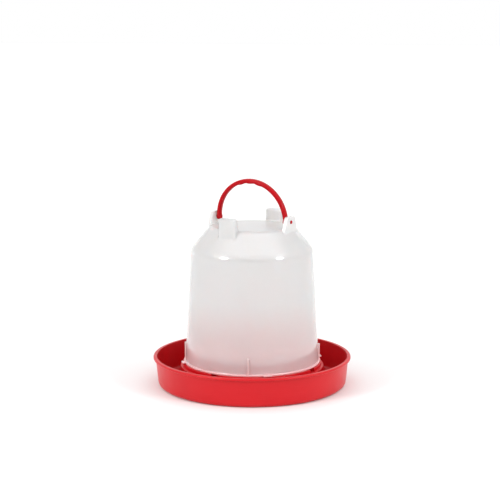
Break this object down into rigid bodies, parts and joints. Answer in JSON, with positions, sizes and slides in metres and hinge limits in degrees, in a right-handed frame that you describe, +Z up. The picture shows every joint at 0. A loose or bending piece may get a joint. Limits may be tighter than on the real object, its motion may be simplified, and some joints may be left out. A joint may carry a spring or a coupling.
{
  "type": "poultry waterer fount",
  "caption": "Gravity poultry waterer: translucent inverted tank standing in a round drinking tray, with a swinging half-ring carrying handle on top.",
  "frame": {"origin": "centre of the tray's underside, on the floor", "axes": "+Z up the tank's axis, +X along the handle's pivot axis, the two stand-on feet on the Y axis"},
  "size_m": [0.36, 0.36, 0.3763],
  "materials": {
    "red_plastic": "glossy moulded polypropylene",
    "translucent_plastic": "milky translucent polyethylene, satin",
    "handle_plastic": "glossy moulded polypropylene"
  },
  "bodies": {
    "tray": {"base_tray": "red_plastic"},
    "tank": {"tank": "translucent_plastic"},
    "handle": {"bail_handle": "handle_plastic"}
  },
  "joints": [
    {"name": "tank_lift", "type": "slide", "parent": "tray", "child": "tank", "axis": [0, 0, 1], "range_m": [0, 0.15]},
    {"name": "handle_swing", "type": "hinge", "parent": "tank", "child": "handle", "pos_m": [0, 0, 0.303], "axis": [1, 0, 0], "range_deg": [-100.5, 89.5]}
  ]
}
